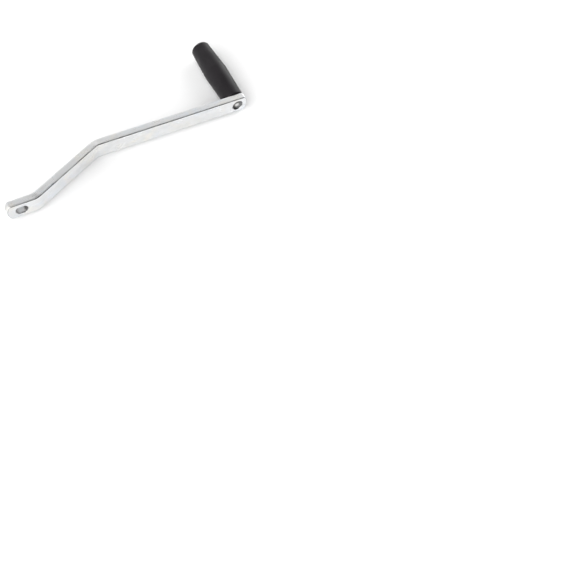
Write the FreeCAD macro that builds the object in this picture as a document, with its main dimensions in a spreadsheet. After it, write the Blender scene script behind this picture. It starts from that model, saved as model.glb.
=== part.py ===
import FreeCAD, Part
import math
import os

import Sketcher

# Hand crank: a zinc-plated flat steel arm with an offset bend, a double-D hub
# hole, and a moulded barrel grip that turns freely on a riveted steel spindle.
#
# Frame, in millimetres: +X runs along the arm from the hub to the grip, +Y runs
# through the bar's thickness and along the grip, and +Z is the bar's width, up.
# The origin is the centre of the hub hole on the face that seats on the machine.

SIZES = {
    # flat bar
    "bar_width": 25.0,
    "bar_thickness": 10.0,
    "edge_radius": 1.2,
    "end_radius": 20.0,
    "end_corner_radius": 1.6,
    # bent centre line, measured on the seating side
    "hub_reach": 18.2,
    "first_bend_x": 21.0,
    "second_bend_x": 120.0,
    "bend_offset": 48.0,
    "bend_radius": 18.0,
    "grip_axis_x": 330.0,
    "tip_reach": 15.0,
    # hub hole
    "hub_hole_diameter": 15.0,
    "hub_hole_flats": 12.5,
    "hole_chamfer": 0.5,
    # riveted joint between spindle and arm
    "rivet_recess_diameter": 15.5,
    "rivet_recess_depth": 3.5,
    "rivet_head_diameter": 10.0,
    "rivet_head_height": 3.0,
    "rivet_head_round": 1.5,
    "neck_diameter": 8.0,
    # spindle
    "collar_diameter": 18.0,
    "collar_length": 3.0,
    "journal_diameter": 12.0,
    "groove_diameter": 11.2,
    "groove_width": 1.2,
    "spindle_tail": 2.0,
    "spindle_chamfer": 0.6,
    # washers and ring
    "washer_diameter": 19.0,
    "washer_bore": 12.4,
    "washer_thickness": 1.0,
    "ring_diameter": 15.6,
    "ring_thickness": 1.0,
    "ring_mouth": 3.0,
    "ring_lug_radius": 1.5,
    "ring_lug_pitch": 7.0,
    "ring_lug_hole": 0.6,
    # grip shell
    "grip_gap": 0.8,
    "grip_length": 106.0,
    "grip_base_diameter": 30.0,
    "grip_belly_diameter": 34.0,
    "grip_belly_at": 56.0,
    "grip_end_diameter": 27.5,
    "grip_base_round": 1.0,
    "grip_belly_round": 45.0,
    "grip_end_round": 2.0,
    "grip_core_diameter": 15.0,
    "base_pocket_diameter": 20.0,
    "end_pocket_depth": 14.0,
    # bushes
    "bush_diameter": 17.0,
    "bush_bore": 12.1,
    "bush_length": 16.0,
    "bush_flange_diameter": 19.4,
    "bush_flange_thickness": 1.5,
    "bush_play": 0.3,
    # end cap
    "cap_thickness": 3.0,
    "cap_skirt": 3.0,
    "cap_wall": 1.6,
    "cap_round": 1.0,
}

DOCUMENT = FreeCAD.newDocument("hand_crank")
SHEET = DOCUMENT.addObject("Spreadsheet::Sheet", "Sizes")

START_POINT = 1
END_POINT = 2
CENTRE_POINT = 3
HORIZONTAL_AXIS = -1
VERTICAL_AXIS = -2


class Size:
    """A length that carries its number and the sheet formula it comes from."""

    def __init__(self, number, formula):
        self.number = number
        self.formula = formula

    @staticmethod
    def of(value):
        if isinstance(value, Size):
            return value
        return Size(float(value), repr(float(value)))

    def __add__(self, other):
        other = Size.of(other)
        return Size(self.number + other.number, f"({self.formula} + {other.formula})")

    def __sub__(self, other):
        other = Size.of(other)
        return Size(self.number - other.number, f"({self.formula} - {other.formula})")

    def __mul__(self, other):
        other = Size.of(other)
        return Size(self.number * other.number, f"({self.formula} * {other.formula})")

    def __truediv__(self, other):
        other = Size.of(other)
        return Size(self.number / other.number, f"({self.formula} / {other.formula})")

    def __neg__(self):
        return Size(-self.number, f"(0 - {self.formula})")


def fill_sheet():
    """Write each driving dimension to a row, its name in A and its alias on B."""
    for row, (alias, number) in enumerate(SIZES.items(), start=1):
        SHEET.set(f"A{row}", alias)
        SHEET.set(f"B{row}", str(number))
        SHEET.setAlias(f"B{row}", alias)
    DOCUMENT.recompute()


def size(alias):
    """The driving dimension of that name."""
    return Size(SIZES[alias], f"Sizes.{alias}")


def half(alias):
    """Half of the driving dimension of that name, such as a radius."""
    return size(alias) / 2


# ---------------------------------------------------------------- sketches


def new_body(label, x=None):
    """A named body. With x given, its own origin stands on the grip axis."""
    body = DOCUMENT.addObject("PartDesign::Body", label)
    body.Label = label
    if x is not None:
        body.setExpression("Placement.Base.x", x.formula)
    return body


def new_sketch(body, name, role, depth=None):
    """A sketch on one of the body's origin planes, moved by depth along its normal."""
    sketch = body.newObject("Sketcher::SketchObject", name)
    plane = next(item for item in body.Origin.OriginFeatures if item.Role == role)
    sketch.AttachmentSupport = [(plane, "")]
    sketch.MapMode = "FlatFace"
    if depth is not None:
        sketch.setExpression("AttachmentOffset.Base.z", depth.formula)
    return sketch


def bind(sketch, kind, references, length):
    """Add a dimension of that kind and tie it to the length's formula."""
    index = sketch.addConstraint(Sketcher.Constraint(kind, *references, length.number))
    sketch.setExpression(f"Constraints[{index}]", length.formula)


def pin_x(sketch, line, point, x):
    """Hold a point of a line or arc at x from the sketch's origin."""
    x = Size.of(x)
    if x.number == 0:
        sketch.addConstraint(Sketcher.Constraint("PointOnObject", line, point, VERTICAL_AXIS))
    else:
        bind(sketch, "DistanceX", (HORIZONTAL_AXIS, START_POINT, line, point), x)


def pin_y(sketch, line, point, y):
    """Hold a point of a line or arc at y from the sketch's origin."""
    y = Size.of(y)
    if y.number == 0:
        sketch.addConstraint(Sketcher.Constraint("PointOnObject", line, point, HORIZONTAL_AXIS))
    else:
        bind(sketch, "DistanceY", (HORIZONTAL_AXIS, START_POINT, line, point), y)


def vector(x, y):
    """The sketch point with the numbers of two lengths."""
    return FreeCAD.Vector(Size.of(x).number, Size.of(y).number, 0)


def draw_outline(sketch, corners):
    """A closed outline of straight sides through corners given as (x, y).

    A corner given as (x, y, radius) is rounded: its arc touches both sides, and a
    construction point keeps the place where the two sides would have met.
    """
    count = len(corners)
    points = [vector(*corner[:2]) for corner in corners]
    entries, exits = [], []
    for step, corner in enumerate(corners):
        here, before, after = points[step], points[step - 1], points[(step + 1) % count]
        setback = 0.0
        if len(corner) == 3:
            turn = math.pi - (before - here).getAngle(after - here)
            setback = corner[2].number * math.tan(turn / 2)
        entries.append(here + (before - here).normalize() * setback)
        exits.append(here + (after - here).normalize() * setback)
    sides = [
        sketch.addGeometry(Part.LineSegment(exits[step], entries[(step + 1) % count]))
        for step in range(count)
    ]
    for step, corner in enumerate(corners):
        arriving, leaving = sides[step - 1], sides[step]
        if len(corner) == 2:
            joined = (arriving, END_POINT, leaving, START_POINT)
            sketch.addConstraint(Sketcher.Constraint("Coincident", *joined))
            pin_x(sketch, leaving, START_POINT, corner[0])
            pin_y(sketch, leaving, START_POINT, corner[1])
        else:
            round_corner(sketch, corner, points[step], (arriving, entries[step]), (leaving, exits[step]))


def round_corner(sketch, corner, place, arriving, leaving):
    """Join two sides with an arc that touches both, and pin where they would meet."""
    x, y, radius = corner
    arriving_side, entry = arriving
    leaving_side, leave = leaving
    inwards = ((entry - place) + (leave - place)).normalize()
    half_angle = (entry - place).getAngle(leave - place) / 2
    centre = place + inwards * (radius.number / math.sin(half_angle))
    angles = [math.atan2(touch.y - centre.y, touch.x - centre.x) for touch in (entry, leave)]
    turns_left = (place - entry).cross(leave - place).z > 0
    start, end = angles if turns_left else reversed(angles)
    if end < start:
        end += 2 * math.pi
    arc = add_arc(sketch, centre, radius.number, start, end)
    entry_end, leave_end = (START_POINT, END_POINT) if turns_left else (END_POINT, START_POINT)
    sketch.addConstraint(Sketcher.Constraint("Tangent", arriving_side, END_POINT, arc, entry_end))
    sketch.addConstraint(Sketcher.Constraint("Tangent", leaving_side, START_POINT, arc, leave_end))
    bind(sketch, "Radius", (arc,), radius)
    meeting = sketch.addGeometry(Part.Point(place), True)
    pin_x(sketch, meeting, START_POINT, x)
    pin_y(sketch, meeting, START_POINT, y)
    for side in (arriving_side, leaving_side):
        sketch.addConstraint(Sketcher.Constraint("PointOnObject", meeting, START_POINT, side))


def draw_circle(sketch, x, y, radius):
    """A circle held at its centre and radius."""
    circle = Part.Circle(vector(x, y), FreeCAD.Vector(0, 0, 1), radius.number)
    index = sketch.addGeometry(circle)
    pin_x(sketch, index, CENTRE_POINT, x)
    pin_y(sketch, index, CENTRE_POINT, y)
    bind(sketch, "Radius", (index,), radius)


def add_arc(sketch, centre, radius, start_angle, end_angle):
    """An arc drawn anticlockwise between two angles in radians."""
    circle = Part.Circle(centre, FreeCAD.Vector(0, 0, 1), radius)
    return sketch.addGeometry(Part.ArcOfCircle(circle, start_angle, end_angle))


# ---------------------------------------------------------------- features


def pad_both_ways(body, sketch, length):
    """Pad a sketch by length, half to each side of its plane."""
    pad = body.newObject("PartDesign::Pad", sketch.Name + "_pad")
    pad.Profile = sketch
    pad.setExpression("Length", length.formula)
    pad.Midplane = True
    DOCUMENT.recompute()
    return pad


def pad_one_way(body, sketch, length, backwards=False):
    """Pad a sketch by length along its normal, or against it."""
    pad = body.newObject("PartDesign::Pad", sketch.Name + "_pad")
    pad.Profile = sketch
    pad.setExpression("Length", length.formula)
    pad.Reversed = backwards
    DOCUMENT.recompute()
    return pad


def cut_through(body, sketch):
    """Cut a sketch through the whole body, to both sides of its plane."""
    before = body.Shape.Volume
    pocket = body.newObject("PartDesign::Pocket", sketch.Name + "_pocket")
    pocket.Profile = sketch
    pocket.Type = "ThroughAll"
    pocket.Midplane = True
    DOCUMENT.recompute()
    check_cut(pocket, before)
    return pocket


def cut_towards_plus_y(body, sketch, depth):
    """Cut a sketch of the XZ plane by depth in the direction of +Y."""
    before = body.Shape.Volume
    pocket = body.newObject("PartDesign::Pocket", sketch.Name + "_pocket")
    pocket.Profile = sketch
    pocket.setExpression("Length", depth.formula)
    DOCUMENT.recompute()
    check_cut(pocket, before)
    return pocket


def check_cut(pocket, volume_before):
    """Stop if a cut took nothing away."""
    if not pocket.Shape.Volume < volume_before - 0.01:
        raise RuntimeError(f"{pocket.Name} cuts nothing")


def revolve(body, name, outline):
    """Turn an outline of (radius, y) corners, some of them rounded, about the Y axis."""
    sketch = new_sketch(body, name, "XY_Plane")
    draw_outline(sketch, outline)
    turned = body.newObject("PartDesign::Revolution", name + "_turned")
    turned.Profile = sketch
    turned.ReferenceAxis = (sketch, ["V_Axis"])
    turned.Angle = 360
    DOCUMENT.recompute()
    return turned


def named_edges(shape, wanted):
    """Names of the edges of a shape for which wanted(edge) is true."""
    edges = enumerate(shape.Edges, start=1)
    return [f"Edge{number}" for number, edge in edges if wanted(edge)]


def dress_edges(body, kind, base, wanted, length):
    """Round ("Fillet") or bevel ("Chamfer") the wanted edges of the base feature."""
    names = named_edges(base.Shape, wanted)
    if not names:
        raise RuntimeError(f"no edge to dress on {base.Name}")
    dressed = body.newObject("PartDesign::" + kind, f"{base.Name}_{kind.lower()}")
    dressed.Base = (base, names)
    dressed.setExpression("Radius" if kind == "Fillet" else "Size", length.formula)
    base.Visibility = False
    DOCUMENT.recompute()
    return dressed


def ring_at(radius, y):
    """A test for the circular edge of that radius at that height on the Y axis."""

    def test(edge):
        curve = edge.Curve
        if not isinstance(curve, Part.Circle):
            return False
        return abs(curve.Radius - radius.number) < 0.001 and abs(curve.Center.y - y.number) < 0.001

    return test


# ---------------------------------------------------------------- derived places

HALF_WIDTH = half("bar_width")
THICKNESS = size("bar_thickness")
ARM_FACE_Y = size("bend_offset")
ARM_BACK_Y = ARM_FACE_Y + THICKNESS
TIP_X = size("grip_axis_x") + size("tip_reach")
GRIP_X = size("grip_axis_x")

COLLAR_END_Y = ARM_BACK_Y + size("collar_length")
GRIP_BASE_Y = ARM_BACK_Y + size("grip_gap")
GRIP_END_Y = GRIP_BASE_Y + size("grip_length")
BASE_WASHER_END_Y = COLLAR_END_Y + size("washer_thickness")
BASE_POCKET_Y = BASE_WASHER_END_Y + size("bush_play") + size("bush_flange_thickness")
END_POCKET_Y = GRIP_END_Y - size("end_pocket_depth")
OUTER_FLANGE_Y = END_POCKET_Y + size("bush_flange_thickness")
OUTER_WASHER_Y = OUTER_FLANGE_Y + size("bush_play")
RING_Y = OUTER_WASHER_Y + size("washer_thickness")
GROOVE_END_Y = RING_Y + size("groove_width")
SPINDLE_END_Y = GROOVE_END_Y + size("spindle_tail")
CAP_FLOOR_Y = GRIP_END_Y - size("cap_thickness")


# ---------------------------------------------------------------- crank arm


def draw_bent_bar(sketch):
    """The bar seen along Z: two parallel runs joined by a sloping one.

    Each bend is a pair of concentric arcs, so the thickness stays the same all the
    way round. The sloping run leaves the first at the angle whose tangent is the
    offset over the distance between the two sharp corners on the seating side.
    """
    inner = size("bend_radius")
    outer = inner + THICKNESS
    rise = size("bend_offset") / (size("second_bend_x") - size("first_bend_x"))
    turn = math.atan(rise.number)
    setback = Size(math.tan(turn / 2), f"tan(atan({rise.formula}) / 2)")
    first_x = size("first_bend_x") - outer * setback
    second_x = size("second_bend_x") + inner * setback
    left_x = -size("hub_reach")
    first = vector(first_x, outer)
    second = vector(second_x, ARM_FACE_Y - inner)
    quarter = math.pi / 2

    def on(centre, radius, angle):
        return centre + FreeCAD.Vector(radius.number * math.cos(angle), radius.number * math.sin(angle), 0)

    low, high = -quarter, -quarter + turn
    top_low, top_high = quarter, quarter + turn
    seat_bend = add_arc(sketch, first, outer.number, low, high)
    inside_bend = add_arc(sketch, first, inner.number, low, high)
    arm_bend = add_arc(sketch, second, inner.number, top_low, top_high)
    back_bend = add_arc(sketch, second, outer.number, top_low, top_high)
    runs = [
        (vector(left_x, 0), on(first, outer, low)),
        (on(first, outer, high), on(second, inner, top_high)),
        (on(second, inner, top_low), vector(TIP_X, ARM_FACE_Y)),
        (vector(TIP_X, ARM_FACE_Y), vector(TIP_X, ARM_BACK_Y)),
        (vector(TIP_X, ARM_BACK_Y), on(second, outer, top_low)),
        (on(second, outer, top_high), on(first, inner, high)),
        (on(first, inner, low), vector(left_x, THICKNESS)),
        (vector(left_x, THICKNESS), vector(left_x, 0)),
    ]
    hub_seat, seat_slope, arm_seat, tip, arm_back, back_slope, hub_back, hub_end = [
        sketch.addGeometry(Part.LineSegment(start, end)) for start, end in runs
    ]
    tangents = [
        (hub_seat, END_POINT, seat_bend, START_POINT),
        (seat_bend, END_POINT, seat_slope, START_POINT),
        (seat_slope, END_POINT, arm_bend, END_POINT),
        (arm_bend, START_POINT, arm_seat, START_POINT),
        (arm_back, END_POINT, back_bend, START_POINT),
        (back_bend, END_POINT, back_slope, START_POINT),
        (back_slope, END_POINT, inside_bend, END_POINT),
        (inside_bend, START_POINT, hub_back, START_POINT),
    ]
    for joined in tangents:
        sketch.addConstraint(Sketcher.Constraint("Tangent", *joined))
    corners = [(arm_seat, tip), (tip, arm_back), (hub_back, hub_end), (hub_end, hub_seat)]
    for before, after in corners:
        sketch.addConstraint(Sketcher.Constraint("Coincident", before, END_POINT, after, START_POINT))
    for level in (hub_seat, arm_seat, arm_back, hub_back):
        sketch.addConstraint(Sketcher.Constraint("Horizontal", level))
    for upright in (tip, hub_end):
        sketch.addConstraint(Sketcher.Constraint("Vertical", upright))
    for outside, inside in ((seat_bend, inside_bend), (arm_bend, back_bend)):
        sketch.addConstraint(Sketcher.Constraint("Coincident", outside, CENTRE_POINT, inside, CENTRE_POINT))
    bind(sketch, "Radius", (inside_bend,), inner)
    bind(sketch, "Radius", (arm_bend,), inner)
    bind(sketch, "Radius", (seat_bend,), outer)
    bind(sketch, "Radius", (back_bend,), outer)
    pin_x(sketch, seat_bend, CENTRE_POINT, first_x)
    pin_x(sketch, arm_bend, CENTRE_POINT, second_x)
    pin_x(sketch, hub_seat, START_POINT, left_x)
    pin_y(sketch, hub_seat, START_POINT, 0)
    pin_x(sketch, arm_seat, END_POINT, TIP_X)
    pin_y(sketch, arm_seat, END_POINT, ARM_FACE_Y)


def draw_end_cut(sketch, apex_x, side):
    """What shearing takes off one end, leaving it convex. side is -1 or +1 along X."""
    overrun = 2.0
    reach = HALF_WIDTH + overrun
    radius = size("end_radius")
    centre_x = apex_x - radius * side
    outside_x = apex_x + Size.of(overrun * side)
    lean = math.asin(reach.number / radius.number)
    middle = 0 if side > 0 else math.pi
    arc = add_arc(sketch, vector(centre_x, 0), radius.number, middle - lean, middle + lean)
    low_point, high_point = (START_POINT, END_POINT) if side > 0 else (END_POINT, START_POINT)
    chord_x = centre_x.number + side * radius.number * math.cos(lean)
    path = [
        FreeCAD.Vector(chord_x, -reach.number, 0),
        vector(outside_x, -reach),
        vector(outside_x, reach),
        FreeCAD.Vector(chord_x, reach.number, 0),
    ]
    lines = [sketch.addGeometry(Part.LineSegment(start, end)) for start, end in zip(path, path[1:])]
    lower, upright, upper = lines
    joins = [
        (arc, low_point, lower, START_POINT),
        (lower, END_POINT, upright, START_POINT),
        (upright, END_POINT, upper, START_POINT),
        (upper, END_POINT, arc, high_point),
    ]
    for joined in joins:
        sketch.addConstraint(Sketcher.Constraint("Coincident", *joined))
    sketch.addConstraint(Sketcher.Constraint("Horizontal", lower))
    sketch.addConstraint(Sketcher.Constraint("Horizontal", upper))
    pin_x(sketch, arc, CENTRE_POINT, centre_x)
    pin_y(sketch, arc, CENTRE_POINT, 0)
    bind(sketch, "Radius", (arc,), radius)
    pin_x(sketch, upright, START_POINT, outside_x)
    pin_y(sketch, upright, START_POINT, -reach)
    pin_x(sketch, upright, END_POINT, outside_x)
    pin_y(sketch, upright, END_POINT, reach)


def draw_double_d(sketch):
    """A circle about the origin with an equal flat above and below."""
    radius = half("hub_hole_diameter")
    flat = half("hub_hole_flats")
    lean = math.asin(flat.number / radius.number)
    reach = radius.number * math.cos(lean)
    centre = vector(0, 0)
    right = add_arc(sketch, centre, radius.number, -lean, lean)
    left = add_arc(sketch, centre, radius.number, math.pi - lean, math.pi + lean)
    up, down = flat.number, -flat.number
    top = sketch.addGeometry(Part.LineSegment(FreeCAD.Vector(reach, up, 0), FreeCAD.Vector(-reach, up, 0)))
    base = sketch.addGeometry(Part.LineSegment(FreeCAD.Vector(-reach, down, 0), FreeCAD.Vector(reach, down, 0)))
    joins = [(right, top), (top, left), (left, base), (base, right)]
    for before, after in joins:
        sketch.addConstraint(Sketcher.Constraint("Coincident", before, END_POINT, after, START_POINT))
    for arc in (right, left):
        pin_x(sketch, arc, CENTRE_POINT, 0)
        pin_y(sketch, arc, CENTRE_POINT, 0)
        bind(sketch, "Radius", (arc,), radius)
    for line, y in ((top, flat), (base, -flat)):
        sketch.addConstraint(Sketcher.Constraint("Horizontal", line))
        pin_y(sketch, line, START_POINT, y)


def is_end_corner(edge):
    """True for the four edges along Y where a convex end meets the bar's long sides."""
    box = edge.BoundBox
    along_y = box.XLength < 0.001 and box.ZLength < 0.001
    return along_y and abs(abs(box.ZMax) - HALF_WIDTH.number) < 0.001


def outline_test(shape):
    """A test for the sharp edges round the outline of the bar's two broad sides."""
    hub_clear = half("hub_hole_diameter").number + 1
    rivet_clear = half("rivet_recess_diameter").number + 1

    def test(edge):
        middle = edge.valueAt((edge.FirstParameter + edge.LastParameter) / 2)
        if math.hypot(middle.x, middle.z) < hub_clear:
            return False
        if math.hypot(middle.x - GRIP_X.number, middle.z) < rivet_clear:
            return False
        faces = shape.ancestorsOfType(edge, Part.Face)
        normals = [face.normalAt(*face.Surface.parameter(middle)) for face in faces]
        return math.degrees(normals[0].getAngle(normals[1])) > 20

    return test


def in_hub_hole(edge):
    """True for the rims of the hub hole on the two broad sides."""
    box = edge.BoundBox
    reach = half("hub_hole_diameter").number + 0.01
    near_hole = max(abs(box.XMin), abs(box.XMax), abs(box.ZMin), abs(box.ZMax)) < reach
    return near_hole and box.YLength < 0.001


def build_crank_arm():
    """Bent flat bar with convex ends, hub hole, and stepped hole for the spindle."""
    body = new_body("crank_arm")
    side_view = new_sketch(body, "side_view", "XY_Plane")
    draw_bent_bar(side_view)
    pad_both_ways(body, side_view, size("bar_width"))

    hub_cut = new_sketch(body, "hub_end_cut", "XZ_Plane")
    draw_end_cut(hub_cut, -size("hub_reach"), -1)
    cut_through(body, hub_cut)
    tip_cut = new_sketch(body, "tip_end_cut", "XZ_Plane")
    draw_end_cut(tip_cut, TIP_X, 1)
    ends = cut_through(body, tip_cut)
    corners = dress_edges(body, "Fillet", ends, is_end_corner, size("end_corner_radius"))

    outline = outline_test(corners.Shape)
    dress_edges(body, "Fillet", corners, outline, size("edge_radius"))

    hub_hole = new_sketch(body, "hub_hole", "XZ_Plane")
    draw_double_d(hub_hole)
    hub_pocket = cut_through(body, hub_hole)
    dress_edges(body, "Chamfer", hub_pocket, in_hub_hole, size("hole_chamfer"))

    neck_hole = new_sketch(body, "neck_hole", "XZ_Plane")
    draw_circle(neck_hole, GRIP_X, 0, half("neck_diameter"))
    cut_through(body, neck_hole)
    recess = new_sketch(body, "rivet_recess", "XZ_Plane", -ARM_FACE_Y)
    draw_circle(recess, GRIP_X, 0, half("rivet_recess_diameter"))
    recess_pocket = cut_towards_plus_y(body, recess, size("rivet_recess_depth"))
    rim = ring_at(half("rivet_recess_diameter"), ARM_FACE_Y)
    dress_edges(body, "Chamfer", recess_pocket, rim, size("hole_chamfer"))
    return body


# ---------------------------------------------------------------- turned pieces


def build_spindle():
    """Stepped pin: hammered head in the arm, collar on its back, journal, ring groove."""
    body = new_body("grip_spindle", GRIP_X)
    head, neck = half("rivet_head_diameter"), half("neck_diameter")
    collar, journal = half("collar_diameter"), half("journal_diameter")
    groove, bevel = half("groove_diameter"), size("spindle_chamfer")
    head_seat = ARM_FACE_Y + size("rivet_recess_depth")
    head_top = head_seat - size("rivet_head_height")
    revolve(
        body,
        "spindle_outline",
        [
            (0, head_top),
            (head, head_top, size("rivet_head_round")),
            (head, head_seat),
            (neck, head_seat),
            (neck, ARM_BACK_Y),
            (collar, ARM_BACK_Y),
            (collar, COLLAR_END_Y),
            (journal, COLLAR_END_Y),
            (journal, RING_Y),
            (groove, RING_Y),
            (groove, GROOVE_END_Y),
            (journal, GROOVE_END_Y),
            (journal, SPINDLE_END_Y - bevel),
            (journal - bevel, SPINDLE_END_Y),
            (0, SPINDLE_END_Y),
        ],
    )
    return body


def build_washer(label, start_y):
    """Plain washer on the journal, from start_y outwards."""
    body = new_body(label, GRIP_X)
    inner, outer = half("washer_bore"), half("washer_diameter")
    end_y = start_y + size("washer_thickness")
    revolve(body, label + "_outline", [(inner, start_y), (outer, start_y), (outer, end_y), (inner, end_y)])
    return body


def build_retaining_ring():
    """Open ring that snaps into the groove, with an eye on each side of its mouth."""
    body = new_body("retaining_ring", GRIP_X)
    outer, inner = half("ring_diameter"), half("groove_diameter")
    end_y = RING_Y + size("ring_thickness")
    revolve(body, "ring_outline", [(inner, RING_Y), (outer, RING_Y), (outer, end_y), (inner, end_y)])

    pitch = size("ring_lug_pitch")
    lug = size("ring_lug_radius")
    half_mouth = half("ring_mouth")
    for name, side in (("upper", 1), ("lower", -1)):
        eye = new_sketch(body, f"{name}_eye", "XZ_Plane", -RING_Y)
        draw_circle(eye, pitch, (half_mouth + lug) * side, lug)
        pad_one_way(body, eye, size("ring_thickness"), backwards=True)
    mouth = new_sketch(body, "ring_mouth", "XZ_Plane")
    draw_outline(
        mouth,
        [(0.5, -half_mouth), (outer + 2, -half_mouth), (outer + 2, half_mouth), (0.5, half_mouth)],
    )
    cut_through(body, mouth)
    for name, side in (("upper", 1), ("lower", -1)):
        hole = new_sketch(body, f"{name}_eye_hole", "XZ_Plane")
        draw_circle(hole, pitch, (half_mouth + lug) * side, size("ring_lug_hole"))
        cut_through(body, hole)
    return body


def build_bush(label, flange_y, towards_end):
    """Flanged plain bearing, its sleeve running inwards from the flange."""
    body = new_body(label, GRIP_X)
    bore, sleeve = half("bush_bore"), half("bush_diameter")
    flange = half("bush_flange_diameter")
    if towards_end:
        inner_y, outer_y = flange_y, flange_y + size("bush_flange_thickness")
        sleeve_y = flange_y - size("bush_length")
    else:
        inner_y, outer_y = flange_y, flange_y - size("bush_flange_thickness")
        sleeve_y = flange_y + size("bush_length")
    revolve(
        body,
        label + "_outline",
        [
            (bore, outer_y),
            (flange, outer_y),
            (flange, inner_y),
            (sleeve, inner_y),
            (sleeve, sleeve_y),
            (bore, sleeve_y),
        ],
    )
    return body


def build_grip_shell():
    """Hollow barrel: two shallow cones that meet at the belly, stepped inside."""
    body = new_body("grip_shell", GRIP_X)
    base, belly, end = half("grip_base_diameter"), half("grip_belly_diameter"), half("grip_end_diameter")
    belly_y = GRIP_BASE_Y + size("grip_belly_at")
    pocket, seat, core = half("base_pocket_diameter"), half("bush_diameter"), half("grip_core_diameter")
    inner_seat_end = BASE_POCKET_Y + size("bush_length")
    outer_seat_start = END_POCKET_Y - size("bush_length")
    revolve(
        body,
        "shell_outline",
        [
            (pocket, GRIP_BASE_Y),
            (base, GRIP_BASE_Y, size("grip_base_round")),
            (belly, belly_y, size("grip_belly_round")),
            (end, GRIP_END_Y, size("grip_end_round")),
            (pocket, GRIP_END_Y),
            (pocket, END_POCKET_Y),
            (seat, END_POCKET_Y),
            (seat, outer_seat_start),
            (core, outer_seat_start),
            (core, inner_seat_end),
            (seat, inner_seat_end),
            (seat, BASE_POCKET_Y),
            (pocket, BASE_POCKET_Y),
        ],
    )
    return body


def build_end_cap():
    """Plug with a hollow skirt that closes the outer end of the grip."""
    body = new_body("end_cap", GRIP_X)
    outer = half("base_pocket_diameter")
    inner = outer - size("cap_wall")
    skirt_y = CAP_FLOOR_Y - size("cap_skirt")
    revolve(
        body,
        "cap_outline",
        [
            (0, CAP_FLOOR_Y),
            (inner, CAP_FLOOR_Y),
            (inner, skirt_y),
            (outer, skirt_y),
            (outer, GRIP_END_Y, size("cap_round")),
            (0, GRIP_END_Y),
        ],
    )
    return body


# ---------------------------------------------------------------- check and export


def check_document():
    """Stop if any object of the document failed to build."""
    for item in DOCUMENT.Objects:
        bad = {"Invalid", "Error"} & set(item.State)
        if bad:
            raise RuntimeError(f"{item.Name}: {bad}")


def export(bodies):
    """Write each sub-part to its own file after checking its solid."""
    os.makedirs("parts", exist_ok=True)
    for body in bodies:
        shape = body.Shape
        if shape.isNull() or not shape.isValid() or len(shape.Solids) != 1:
            raise RuntimeError(f"{body.Label} is not one valid solid")
        shape.exportStep(f"parts/{body.Label}.step")
        box = shape.BoundBox
        print(
            f"{body.Label}: {shape.Volume:.0f} mm3, "
            f"x {box.XMin:.2f} to {box.XMax:.2f}, "
            f"y {box.YMin:.2f} to {box.YMax:.2f}, "
            f"z {box.ZMin:.2f} to {box.ZMax:.2f}"
        )


fill_sheet()
BODIES = [
    build_crank_arm(),
    build_spindle(),
    build_washer("base_washer", COLLAR_END_Y),
    build_grip_shell(),
    build_bush("inner_bush", BASE_POCKET_Y, towards_end=False),
    build_bush("outer_bush", END_POCKET_Y, towards_end=True),
    build_washer("outer_washer", OUTER_WASHER_Y),
    build_retaining_ring(),
    build_end_cap(),
]
DOCUMENT.recompute()
check_document()
export(BODIES)
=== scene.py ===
import logging
import math
from dataclasses import dataclass, field
from enum import Enum

import bmesh
import bpy
import numpy as np
from mathutils import Matrix, Vector


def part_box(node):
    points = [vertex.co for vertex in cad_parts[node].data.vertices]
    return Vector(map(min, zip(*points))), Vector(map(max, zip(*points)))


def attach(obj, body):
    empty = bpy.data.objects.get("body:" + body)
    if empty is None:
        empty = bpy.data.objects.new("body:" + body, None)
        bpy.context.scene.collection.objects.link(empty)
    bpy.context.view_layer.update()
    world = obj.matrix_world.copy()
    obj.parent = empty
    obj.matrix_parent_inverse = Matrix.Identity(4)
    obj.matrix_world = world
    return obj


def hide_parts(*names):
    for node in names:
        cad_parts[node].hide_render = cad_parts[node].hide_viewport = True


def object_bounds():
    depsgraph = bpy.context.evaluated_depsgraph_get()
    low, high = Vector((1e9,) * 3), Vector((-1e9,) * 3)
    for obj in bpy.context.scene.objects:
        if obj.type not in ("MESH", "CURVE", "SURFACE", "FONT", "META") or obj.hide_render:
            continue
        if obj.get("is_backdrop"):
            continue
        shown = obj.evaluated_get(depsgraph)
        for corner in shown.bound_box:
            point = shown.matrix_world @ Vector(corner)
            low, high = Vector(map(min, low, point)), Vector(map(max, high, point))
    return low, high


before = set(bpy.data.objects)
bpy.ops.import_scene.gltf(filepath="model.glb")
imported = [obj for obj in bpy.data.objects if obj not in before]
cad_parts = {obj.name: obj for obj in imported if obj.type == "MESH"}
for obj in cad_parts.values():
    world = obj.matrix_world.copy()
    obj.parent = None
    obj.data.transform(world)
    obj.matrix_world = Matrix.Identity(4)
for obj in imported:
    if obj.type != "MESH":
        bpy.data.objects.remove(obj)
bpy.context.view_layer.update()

# The looks of a hand crank: a zinc-plated flat bar with an offset bend, and a black
# barrel grip that turns on a riveted spindle. Lengths are in metres. +X runs along
# the arm, +Y through the bar's thickness and along the grip, and +Z is up.

log = logging.getLogger("hand_crank")

WELD_STEP = 1e-7
SHARP_ANGLE = math.radians(32)
FULL_TURN = 2 * math.pi


class Body(Enum):
    """The two bodies of the frame that pieces ride on."""

    CRANK = "crank"
    GRIP = "grip"


class Slot(Enum):
    """The record's material slots."""

    ZINC = "zinc_plated_steel"
    BRIGHT = "bright_steel"
    WASHER = "washer_steel"
    SPRING = "spring_steel"
    GRIP = "black_grip_plastic"
    CAP = "black_cap_plastic"
    BEARING = "bearing_plastic"


class BarEnd(Enum):
    """The two ends of the bar, by the way they point along the developed length."""

    HUB = -1
    TIP = 1


# ---------------------------------------------------------------- surfaces


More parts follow.
